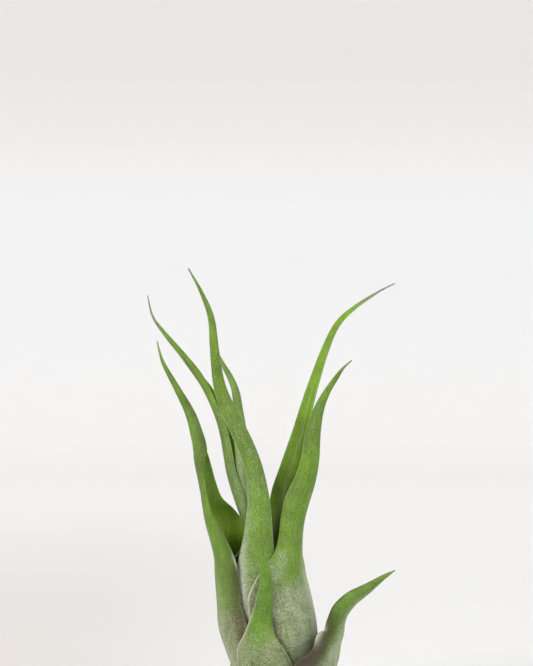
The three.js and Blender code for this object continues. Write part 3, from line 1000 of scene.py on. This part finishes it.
LEAVES = (
    Leaf(
        "leaf_right_low", azimuth=340, layer=0, flare=4.4, pale_to=21, pale_fade=6,
        wrap=((4, 60), (12, 60), (17, 56), (21, 47.5), (24, 33)),
        blade=(
            (15.4, -4.6, 27.5, 5.6, 74, 327), (17.8, -6, 30.7, 3.6, 91, 313),
            (19.3, -7.2, 34.1, 3.35, 90, 308), (22.3, -8.4, 37.6, 2.8, 86, 306),
            (27.3, -10, 41, 1.95, 84, 306), (32.4, -12, 44.8, 1.1, 66, 306),
            (35.4, -13.4, 46.8, 0.3, 30, 306),
        ),
        spots=make_spots(
            flush=((19, -0.95, 6, 0.38, 1.6), (28, -0.95, 6, 0.25, 0.9), (36, -1, 6, 0.2, 0.5)),
            # painted shade: these darken the left side, which lies in shade
            deep=((29, -0.6, 5, 0.4, 0.9), (20, -0.8, 6, 0.32, 0.9)),
            fresh=((36, 0, 4, 0.6, 0.6),),
            silver=((30, 0.6, 9, 0.25, 0.4), (19, 0, 7, 0.4, 1), (26, 0.2, 9, 0.4, 0.5)),
            edge=(
                (21, 0.1, 7, 0.35, 0.25), (36, 0.4, 6, 0.25, 0.22), (27, 0.5, 7, 0.2, 0.25),
                (27.5, -1, 2.5, 0.15, 0.7), (19, -1, 5, 0.05, -0.4),
            ),
        ),
    ),
    Leaf(
        "leaf_back_low", azimuth=110, layer=1, flare=2.4, pale_to=22, pale_fade=6,
        wrap=((4, 62), (12, 56), (17, 38), (22, 28)),
        blade=(
            (-7, 15.6, 29, 3, 66, 108), (-7.4, 18.4, 35, 2.4, 80, 104), (-7.2, 22.4, 41, 1.8, 80, 98),
            (-6.2, 27.4, 45.4, 1, 75, 94), (-4.6, 32.6, 48, 0.3, 30, 92),
        ),
    ),
    Leaf(
        "leaf_front_low", azimuth=250, layer=2, turn=10, flare=0.4, pale_to=26, pale_fade=5, dry_from=1.2,
        wrap=((4, 62), (12, 51), (17, 39.5), (20.7, 33), (24.6, 25.5), (28, 16.7)),
        blade=(
            (-3.2, -12.9, 34.5, 3.8, 60, 264), (-2.8, -14.6, 38.4, 3.1, 70, 268),
            (-2.45, -15.9, 42.4, 2.45, 76, 270), (-2.7, -17, 46.6, 1.9, 76, 270),
            (-3.85, -18.1, 50.2, 1.2, 70, 270), (-5.8, -19.4, 53.5, 0.3, 30, 268),
        ),
        spots=make_spots(
            fresh=((41, 0, 8, 1.3, 1), (28, -0.05, 7, 0.4, 0.6)),
            edge=((26, -1, 12, 0.06, 0.7), (38, -1, 8, 0.2, 0.8)),
            deep=((19, -0.35, 1.2, 0.05, 0.8),),
        ),
    ),
    Leaf(
        "leaf_back_right", azimuth=50, layer=3, flare=1, pale_to=30,
        wrap=((4, 57), (14, 55), (20, 42), (26, 26), (30, 20)),
        blade=(
            (5.8, 12.4, 37, 3.4, 62, 52), (6.2, 14.6, 45, 2.7, 78, 58), (6.4, 17.8, 54, 2.1, 84, 62),
            (7.2, 22, 62, 1.6, 84, 66), (9, 27.4, 69, 1, 78, 68), (11.6, 33.4, 74, 0.3, 30, 68),
        ),
    ),
    Leaf(
        "leaf_left", azimuth=168, layer=4, turn=-5, flare=0.6, pale_to=32, pale_fade=12,
        wrap=((5, 54), (16, 66), (20, 72), (24, 79), (32, 81), (36, 76), (40, 71), (46, 79), (50, 76)),
        blade=(
            (-12.4, 1, 59.9, 8.3, 80, 156), (-16.7, 2, 65.3, 5.05, 84, 152), (-19.05, 3, 70.6, 3.5, 96, 150),
            (-20.88, 3.3, 77.8, 3.15, 110, 164), (-21.45, 3.6, 81.4, 2.95, 114, 192),
            (-22.5, 4, 85, 2.5, 106, 220), (-24.92, 5, 92.2, 1.88, 96, 234),
            (-28.87, 6, 99.5, 1.26, 90, 240), (-32.9, 7.5, 106.7, 0.88, 70, 240),
            (-34.3, 8.3, 110.6, 0.6, 44, 240), (-35.15, 9, 114.3, 0.3, 30, 240),
        ),
        spots=make_spots(
            # fresh green on the back; on the channel, painted light in its shaded lower part
            fresh=((58, 0.3, 16, 0.5, 0.8), (57.5, -0.75, 4, 0.5, 1)),
            flush=(
                (29, 0.88, 10, 0.24, 0.7), (41, 0.95, 8, 0.12, 0.3), (95, 0.55, 9, 0.5, 0.3),
                (79, 0.6, 7, 0.5, 0.33),
            ),
            # painted shade: the spots at 45 and 65 darken the near margin where it curls in and lies in
            # shadow
            deep=((45, 0.98, 12, 0.13, 1), (67, -0.75, 6, 0.5, 0.15), (65, 1, 10, 0.05, 0.95)),
            edge=(
                (49.5, 1, 3, 0.05, 0.6), (38, 1, 8, 0.05, -0.5), (30, 0.25, 16, 0.4, 0.09),
                (61, 1, 10, 0.07, -0.6),
            ),
            silver=((54, 0.4, 12, 0.6, -0.08), (24, 0.4, 8, 0.4, 0.5)),
        ),
    ),
    Leaf(
        "leaf_right", azimuth=316, layer=5, flare=1.6, pale_to=40.5, pale_fade=5,
        wrap=((6, 56), (18, 64), (30, 66), (36, 68), (41, 60), (44.5, 50)),
        blade=(
            (2.1, -4.5, 50.2, 7, 60, 306), (4, -4.1, 55.6, 4.9, 68, 298), (4.95, -4.4, 61, 4.6, 70, 292),
            (6.45, -5, 66.9, 4.5, 74, 290), (9.05, -6.2, 73.5, 3.8, 76, 290),
            (10.55, -7.2, 80.1, 3.25, 80, 290), (11.2, -8, 86.5, 2.85, 82, 290),
            (12.8, -9.2, 93.3, 2.05, 84, 292), (15.1, -10.2, 98.6, 1.35, 84, 296),
            (18.1, -11.4, 103.4, 1.05, 70, 298), (20.15, -12.1, 106.3, 0.65, 50, 299),
            (22.7, -13, 108.7, 0.3, 30, 300),
        ),
        spots=make_spots(
            silver=(
                (46.5, -0.6, 4, 0.24, 0.6), (38, -0.15, 5, 0.35, 0.4), (36, 0.15, 5, 0.35, 0.5),
                # the spot at 38, 0.68 is partly silvery scales, partly a painted sheen along the right edge
                (38, 0.68, 11, 0.2, 0.9), (25, 0.3, 7, 0.6, 0.3),
            ),
            flush=(
                (38, -0.92, 8, 0.18, 0.36), (33, -0.62, 8, 0.2, 0.5), (46, -0.85, 3, 0.14, 0.35),
                # painted shadow: the five narrow spots from height 31 down to 20.5 draw the shadow of
                # leaf_front_low's right margin on this sheath
                (31, -0.56, 1.8, 0.035, 0.8), (28, -0.55, 1.8, 0.035, 0.9), (25.5, -0.5, 1.8, 0.035, 0.9),
                (23, -0.445, 1.8, 0.035, 0.9), (20.5, -0.39, 1.8, 0.035, 0.9),
            ),
            edge=(
                # painted light: the spots at 20 and 27 lift the shade where this sheath meets leaf_right_low;
                # the one at 37 is partly the pale margin, partly a painted sheen along the right edge
                (42, -1, 8, 0.04, 0.5), (37, 0.52, 11, 0.2, 0.5), (20, 0.07, 5, 0.2, 0.4),
                (46.5, -0.55, 3.5, 0.2, 0.1), (80, -1, 16, 0.1, 0.6), (27, 0.7, 7, 0.12, 0.25),
            ),
        ),
    ),
    Leaf(
        "leaf_back", azimuth=78, layer=6, dry_from=0.97,
        wrap=((7, 50), (20, 50), (36, 42), (46, 26)),
        blade=(
            (-4.4, 7, 54, 4.1, 50, 78), (-5.9, 8.6, 64, 3.2, 76, 62), (-8.3, 10, 75, 2.8, 100, 36),
            (-10, 11.6, 84.1, 2.4, 120, 8), (-11.2, 13.2, 92, 2.05, 122, -10),
            (-12.05, 15, 98.7, 1.65, 112, -20), (-13.8, 16.2, 103.2, 1.45, 96, -24),
            (-16.6, 17.3, 108.2, 1.05, 80, -26), (-19.2, 18.2, 113.4, 0.3, 30, -26),
        ),
        spots=make_spots(
            fresh=((95, 0, 16, 1.5, 0.5),),
            # painted light: lifts the blade where it lies in shade behind leaf_front
            edge=((90, 0, 20, 3, 0.09),),
            silver=((90, 0, 25, 3, -0.06),),
        ),
    ),
    Leaf(
        "leaf_right_tall", azimuth=38, layer=8, dry_from=0.875,
        wrap=((8, 42), (20, 43), (38, 42), (46, 36)),
        blade=(
            (-0.8, 1.4, 56, 6.2, 59, 41), (1.1, 2.8, 66.3, 5.6, 70, 48), (3.95, 4.6, 75.3, 4.5, 72, 54),
            (7.1, 6.4, 84.9, 3.7, 72, 60), (9.45, 8, 94, 2.65, 72, 66), (12.35, 9.6, 103, 2.1, 72, 70),
            (15.6, 11.4, 112.1, 1.65, 70, 70), (19.15, 13, 119.4, 1.35, 66, 64),
            (24.15, 14.8, 124.3, 1.05, 60, 52), (31.6, 17, 129.3, 0.55, 45, 40),
            (36.9, 18.6, 132, 0.3, 30, 34),
        ),
        spots=make_spots(
            # painted shade: darker down the channel towards its base; the edge spot at 57 is painted light
            # lifting that shade
            deep=((68, 0, 9, 1.5, 0.48), (84, -0.5, 8, 0.8, 0.4)),
            flush=((57, 0, 5, 1.5, 0.35),),
            edge=((57, 0, 5, 1.5, 0.08),),
        ),
    ),
    Leaf(
        "leaf_left_tall", azimuth=133, layer=8, dry_from=0.89,
        wrap=((8, 43), (20, 43), (38, 44), (46, 40)),
        blade=(
            (-5.6, 3.6, 54, 3.5, 84, 138), (-6.9, 4.8, 60.2, 3, 100, 154), (-9, 5.8, 66.8, 3.2, 119, 159),
            (-11.3, 6.6, 74.1, 3.1, 121, 151), (-12.8, 7.4, 81.3, 2.8, 127, 147),
            (-14.65, 8.2, 88.5, 2.4, 132, 148), (-17.8, 9.2, 95.8, 1.9, 127, 149),
            (-22.1, 10.4, 103, 1.65, 122, 184), (-27.8, 11.8, 110.3, 1.25, 108, 198),
            (-33.3, 13, 117, 0.98, 80, 204), (-36.6, 13.8, 121.9, 0.6, 50, 206),
            (-38.2, 14.2, 128.3, 0.3, 30, 206),
        ),
        spots=make_spots(
            silver=((68, 0.7, 8, 0.3, 0.35),),
            edge=((72, 0.3, 20, 2, 0.06),),
            flush=((90, 0.3, 12, 0.25, 0.3),),
        ),
    ),
    Leaf(
        "leaf_front", azimuth=266, layer=7, flare=0.5, pale_to=42, pale_fade=12, dry_from=0.945,
        wrap=((8, 44), (24, 46), (38, 42), (46, 34)),
        blade=(
            (-4.65, -4, 55.4, 6.7, 48, 268), (-4.45, -5.2, 61, 5.15, 58, 268),
            (-4.6, -6.5, 67.4, 4.05, 68, 270), (-5.95, -7.6, 76, 3.25, 76, 276),
            (-9.1, -8.8, 84.4, 3.1, 78, 280), (-13.6, -10.4, 93.9, 2.75, 80, 280),
            (-16.35, -11.6, 101.6, 2.2, 82, 278), (-17.65, -12.8, 111.7, 1.65, 84, 276),
            (-18.6, -13.6, 121.1, 1.2, 84, 274), (-21.5, -14.4, 128.8, 0.7, 66, 272),
            (-25.3, -15.4, 135.8, 0.3, 30, 270),
        ),
        spots=make_spots(
            silver=((50, -0.85, 14, 0.3, 0.9), (40, -0.6, 7, 0.4, 0.9), (76, 0, 22, 3, 0.1)),
            edge=(
                # partly the pale silvery band, partly painted light: the spots at 50, 38 and 42 lift the
                # shade that leaf_left's margin casts there
                (50, -0.82, 7, 0.14, 0.4), (38, -0.68, 8, 0.2, 1), (42, -0.85, 8, 0.25, 0.5),
                (88, -1, 18, 0.16, 0.8), (70, -1, 9, 0.09, 0.6), (60, 1, 8, 0.07, 0.8),
                (92, 1, 8, 0.12, 0.6),
            ),
            fresh=((67.5, -0.45, 2.2, 0.22, 0.8),),
            flush=((52, 0.95, 4, 0.12, 0.5),),
            deep=((106, 0, 2, 0.6, 0.4),),
        ),
    ),
    Leaf(
        "leaf_young_back", azimuth=20, layer=11,
        wrap=((10, 60), (26, 60), (40, 52)),
        blade=(
            (-4.2, 0.2, 54, 2.4, 72, 34), (-3.5, 0.6, 63, 1.5, 80, 50), (-4, 1.4, 72, 1, 76, 76),
            (-4.9, 2, 80, 0.3, 30, 90),
        ),
    ),
    Leaf(
        "leaf_young_front", azimuth=196, layer=11,
        wrap=((10, 60), (24, 60), (36, 50)),
        blade=(
            (-6.1, -0.6, 45.5, 2.5, 84, 202), (-5.6, 2.2, 54, 1.6, 76, 215), (-5.8, 4, 60.5, 1.5, 76, 232),
            (-8.2, 5.4, 67.3, 1.8, 80, 245), (-9.8, 5.9, 74.4, 1.8, 84, 252),
            (-10.7, 6.2, 81.3, 1.3, 84, 256), (-11.9, 6.4, 87.5, 0.8, 66, 258),
            (-13.3, 6.2, 92, 0.3, 30, 258),
        ),
        # painted light: lifts the blade where it lies in shade among the taller leaves
        spots=make_spots(edge=((76, 0, 14, 3, 0.2),)),
    ),
)

# In each finish the colour for shaded places is painted shade.
BACK_FINISH = LeafFinish(
    "Leaf back", blade=(0.1, 0.188, 0.005), fresh=(0.08, 0.185, 0.002), deep=(0.035, 0.06, 0.002),
    sheath=(0.152, 0.184, 0.05), flush=(0.05, 0.025, 0.018), dry=(0.2, 0.195, 0.155),
    margin=(0.6, 0.59, 0.48), scales=(0.385, 0.435, 0.315), flecks=(0.025, 0.045, 0.01), gain=0.85,
    fleck_share=0.42, roughness=0.55, sheen=0.1, relief=0.45,
)
# painted light: the channel's light green for fresh places lifts the inside of a channel where it lies in
# shade
CHANNEL_FINISH = LeafFinish(
    "Leaf channel", blade=(0.13, 0.236, 0.009), fresh=(0.36, 0.54, 0.06), deep=(0.055, 0.105, 0.003),
    sheath=(0.15, 0.16, 0.05), flush=(0.09, 0.055, 0.035), dry=(0.2, 0.195, 0.155), margin=(0.4, 0.42, 0.3),
    scales=(0.3, 0.36, 0.2), flecks=(0.05, 0.07, 0.01), gain=0.2, fleck_share=0.05, roughness=0.45,
    sheen=0.04, relief=0.3,
)
MARGIN_FINISH = LeafFinish(
    "Leaf margin", blade=(0.13, 0.24, 0.02), fresh=(0.12, 0.25, 0.02), deep=(0.06, 0.1, 0.01),
    sheath=(0.3, 0.31, 0.18), flush=(0.11, 0.07, 0.05), dry=(0.21, 0.205, 0.17), margin=(0.55, 0.55, 0.44),
    scales=(0.4, 0.44, 0.32), flecks=(0.08, 0.08, 0.03), gain=0.5, fleck_share=0.05, roughness=0.5,
    sheen=0.08, relief=0.2,
)


# ---- the stem and its roots
@dataclass(frozen=True)
class RootPath:
    """A root: the azimuth at which it leaves the stem, how far out it reaches and how far it turns."""

    azimuth: float
    reach: float
    bend: float

    def point(self, distance: float, turn: float, height: float) -> Vector:
        """A point at a distance from the stem's middle, in mm and degrees."""
        angle = math.radians(self.azimuth + turn)
        return Vector((distance * math.cos(angle), distance * math.sin(angle), height)) * MM

    def knots(self, radius: float) -> list[Vector]:
        """The points that the root's middle line runs through, from inside the stem out to its tip.

        Args:
            radius: the root's radius in metres.

        Returns:
            The points.
        """
        inside, skin = (2.5, 1.6), (6.5, 1.3)  # distances and heights in the stem and at its skin
        rest = radius / MM
        lift = 0.15
        return [
            self.point(inside[0], 0, inside[1]),
            self.point(skin[0], 0, skin[1]),
            self.point((skin[0] + self.reach) / 2, self.bend * 0.4, rest + lift),
            self.point(self.reach, self.bend, rest),
        ]


@dataclass
class Stem:
    """The short woody stem with its flat foot, and the five wiry roots that grew from it."""

    profile: tuple = (
        (5.6, 0), (6.1, 0.5), (5.7, 1.5), (4.3, 2.6), (3.9, 4.5), (3.0, 8), (2.2, 12), (1.3, 15),
    )
    sides: int = 32
    flat_foot: float = 0.35 * MM  # the skin up to this height is set on the ground
    bark_size: float = 1.2 * MM
    bark_depth: float = 0.7 * MM
    root_radius: float = 0.55 * MM
    root_steps: int = 24
    kink: float = 0.12 * MM
    roots: tuple = (
        RootPath(20, 14.5, 14), RootPath(95, 12.5, -16), RootPath(158, 15, 12),
        RootPath(222, 12, -10), RootPath(290, 14, 16),
    )

    def build_trunk(self) -> Piece:
        """Draws the stem up ring by ring from its foot, then roughens it into bark.

        Returns:
            The stem without its roots.
        """
        foot_radius, foot_height = self.profile[0]
        deselect_all()
        bpy.ops.mesh.primitive_circle_add(
            vertices=self.sides, radius=foot_radius * MM, fill_type="NGON", location=(0, 0, foot_height * MM))
        trunk = bpy.context.active_object
        bpy.ops.object.mode_set(mode="EDIT")
        bpy.ops.mesh.select_all(action="SELECT")
        for (radius, height), (next_radius, next_height) in zip(self.profile, self.profile[1:]):
            bpy.ops.mesh.extrude_region_move(
                TRANSFORM_OT_translate={"value": (0, 0, (next_height - height) * MM)})
            ratio = next_radius / radius
            bpy.ops.transform.resize(value=(ratio, ratio, 1), center_override=(0, 0, next_height * MM))
        bpy.ops.mesh.select_all(action="SELECT")
        bpy.ops.mesh.normals_make_consistent(inside=False)
        bpy.ops.object.mode_set(mode="OBJECT")
        self.roughen(trunk)
        return trunk

    def roughen(self, trunk: Piece) -> None:
        """Subdivides the stem and pushes its skin in and out, and keeps its foot flat.

        Args:
            trunk: the stem.
        """
        add_modifier(trunk, "SUBSURF", levels=2, render_levels=2)
        add_modifier(trunk, "DISPLACE", texture=clouds("Bark", self.bark_size, 3), texture_coords="LOCAL",
                     strength=self.bark_depth)
        apply_modifiers(trunk)
        for vertex in trunk.data.vertices:
            if vertex.co.z <= self.flat_foot:
                vertex.co.z = 0.0

    def build_root(self, number: int, path: RootPath) -> Piece:
        """Draws one wiry root as a tapering curve and turns it into a mesh.

        Args:
            number: the root's number.
            path: where it runs.

        Returns:
            The root.
        """
        steps = self.root_steps
        random = np.random.default_rng(SCATTER_SEED + number)
        points = read_knots(np.array(path.knots(self.root_radius)), np.linspace(0, 3, steps), reflect=True)
        curve = bpy.data.curves.new(f"root_{number}", "CURVE")
        curve.dimensions = "3D"
        curve.bevel_depth = self.root_radius
        curve.bevel_resolution = 2
        curve.use_fill_caps = True
        spline = curve.splines.new("POLY")
        spline.points.add(steps - 1)
        for i, point in enumerate(points):
            share = i / (steps - 1)
            kink = random.normal(0, self.kink, 2) * (share > 0.2)
            radius = 1.05 - 0.6 * share
            height = max(point[2], self.root_radius * radius)
            spline.points[i].co = (point[0] + kink[0], point[1] + kink[1], height, 1)
            spline.points[i].radius = radius
        make_active(put_in_scene(curve.name, curve))
        bpy.ops.object.convert(target="MESH")
        return bpy.context.active_object

    def build(self) -> Piece:
        """Builds the stem with its roots and dresses it.

        Returns:
            The finished piece.
        """
        bark = WoodFinish("Bark", (0.05, 0.03, 0.018), (0.16, 0.11, 0.07), (0.3, 0.26, 0.2), 900.0)
        wire = WoodFinish("Root skin", (0.04, 0.025, 0.016), (0.13, 0.085, 0.05), (0.22, 0.17, 0.12), 1600.0)
        trunk = self.build_trunk()
        trunk.data.materials.append(bark.material())
        roots = [self.build_root(number, path) for number, path in enumerate(self.roots, start=1)]
        skin = wire.material()
        for root in roots:
            root.data.materials.append(skin)
        piece = join([trunk, *roots])
        piece.name = "fine_stem"
        shade_smooth(piece)
        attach(piece, "root")
        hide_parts("stem")
        return piece


# ---- the studio
@dataclass
class Studio:
    """A pale round floor that sweeps up into a wall all round, soft light and the camera."""

    floor_radius: float = 2.2
    wall_height: float = 1.6
    sweep: float = 0.8
    eye: tuple = (-2.25 * MM, -0.8, 116.7 * MM)
    picture_height: float = 199.8 * MM
    sensor: float = 36.0
    paper_far: Colour = (0.945, 0.945, 0.95)
    paper: Colour = (0.885, 0.89, 0.905)
    # painted shade: darker paper near the plant, warm and darker to its left, and high on the wall
    shaded_paper_near: Colour = (0.815, 0.815, 0.82)
    shaded_paper_near_left: Colour = (0.715, 0.69, 0.67)
    shaded_paper_high: Colour = (0.795, 0.775, 0.757)
    paper_grain: float = 900.0
    left_fade: tuple = (-0.1, 0.06)  # along X, from the side in painted warm shade to the other
    near_fade: tuple = (0.1, 1.2)  # out from the plant, where the painted shade fades out
    wall_fade: tuple = (0.0, 0.2)  # up, from the floor's paper to the wall's
    high_fade: tuple = (0.22, 0.42)
    ambient: float = 0.86

    def build_floor(self) -> Piece:
        """Draws the floor and wall: a disc whose rim is raised, with a round fold between them.

        Returns:
            The floor with its wall.
        """
        deselect_all()
        bpy.ops.mesh.primitive_circle_add(vertices=96, radius=self.floor_radius, fill_type="NGON")
        floor = bpy.context.active_object
        floor.name = "studio_floor"
        bpy.ops.object.mode_set(mode="EDIT")
        bpy.ops.mesh.select_mode(type="EDGE")
        bpy.ops.mesh.select_all(action="SELECT")
        bpy.ops.mesh.region_to_loop()
        bpy.ops.mesh.extrude_edges_move(TRANSFORM_OT_translate={"value": (0, 0, self.wall_height)})
        bpy.ops.object.mode_set(mode="OBJECT")
        add_modifier(floor, "BEVEL", width=self.sweep, segments=24, limit_method="ANGLE",
                     angle_limit=math.radians(60))
        apply_modifiers(floor)
        shade_smooth(floor)
        return floor

    def dress_floor(self, floor: Piece) -> None:
        """Gives the floor its matt paper finish, with painted shade: darker near the plant, warmer and darker
        to its left, and darker high on the wall.

        Args:
            floor: the floor with its wall.
        """
        material, w, shader = new_material("Pale paper")
        place = w.place()
        x, _, z = w.add("ShaderNodeSeparateXYZ", {0: place}).outputs
        distance = w.add("ShaderNodeVectorMath", {0: place}, operation="LENGTH").outputs["Value"]
        near = w.mix(w.span(x, *self.left_fade), self.shaded_paper_near_left, self.shaded_paper_near)
        colour = w.mix(w.span(distance, *self.near_fade), near, self.paper_far)
        colour = w.mix(w.span(z, *self.wall_fade), colour, self.paper)
        colour = w.mix(w.span(z, *self.high_fade), colour, self.shaded_paper_high)
        colour = w.tone(colour, w.span(w.noise(place, self.paper_grain), 0.2, 0.8, 0.985, 1.0))
        w.feed_all(shader, {"Base Color": colour, "Roughness": 0.95, "Specular IOR Level": 0.1})
        floor.data.materials.append(material)

    def add_light(self, name: str, at: tuple, size: float, power: float, colour: Colour) -> None:
        """Adds a square soft light that points at the plant.

        Args:
            name: the light's name.
            at: where it hangs.
            size: the length of its side.
            power: in watts.
            colour: of the light.
        """
        lamp = bpy.data.lights.new(name, "AREA")
        lamp.size = size
        lamp.energy = power
        lamp.color = colour
        light = put_in_scene(name, lamp)
        light.location = at
        towards = Vector((0, 0, 60 * MM)) - Vector(at)
        light.rotation_euler = towards.to_track_quat("-Z", "Y").to_euler()

    def add_camera(self) -> None:
        """Sets the camera level, in front of the plant."""
        data = bpy.data.cameras.new("camera")
        data.sensor_width = self.sensor
        data.lens = self.sensor * abs(self.eye[1]) / self.picture_height
        data.clip_start, data.clip_end = 0.01, 20.0
        camera = put_in_scene("camera", data)
        camera.location = self.eye
        camera.rotation_euler = (math.radians(90), 0, 0)
        bpy.context.scene.camera = camera

    def build(self) -> None:
        """Builds the whole studio."""
        floor = self.build_floor()
        self.dress_floor(floor)
        world = bpy.data.worlds.new("Studio light")
        world.use_nodes = True
        sky = world.node_tree.nodes["Background"].inputs
        sky["Color"].default_value = (1.0, 1.0, 1.0, 1.0)
        sky["Strength"].default_value = self.ambient
        bpy.context.scene.world = world
        self.add_light("key", at=(-1.0, -1.3, 0.9), size=0.7, power=20.0, colour=(1.0, 0.985, 0.96))
        self.add_light("fill", at=(1.0, -1.3, 0.7), size=1.2, power=10.0, colour=(0.97, 0.985, 1.0))
        self.add_camera()
        bpy.context.scene.view_settings.view_transform = "Standard"


# ---- the plant
def main() -> None:
    """Builds the studio, the stem and the leaves."""
    Studio().build()
    stem = Stem().build()
    log.info("%s: %d faces", stem.name, len(stem.data.polygons))
    effects = SharedEffects()
    finishes = [finish.material(effects) for finish in (BACK_FINISH, CHANNEL_FINISH, MARGIN_FINISH)]
    finishes.append(ScaleFinish().material())
    coat = ScaleCoat()
    for leaf in LEAVES:
        piece = leaf.build(finishes, coat)
        log.info("%s: %d faces", piece.name, len(piece.data.polygons))


if __name__ == "__main__":
    logging.basicConfig(level=logging.INFO, format="%(name)s: %(message)s")
    main()
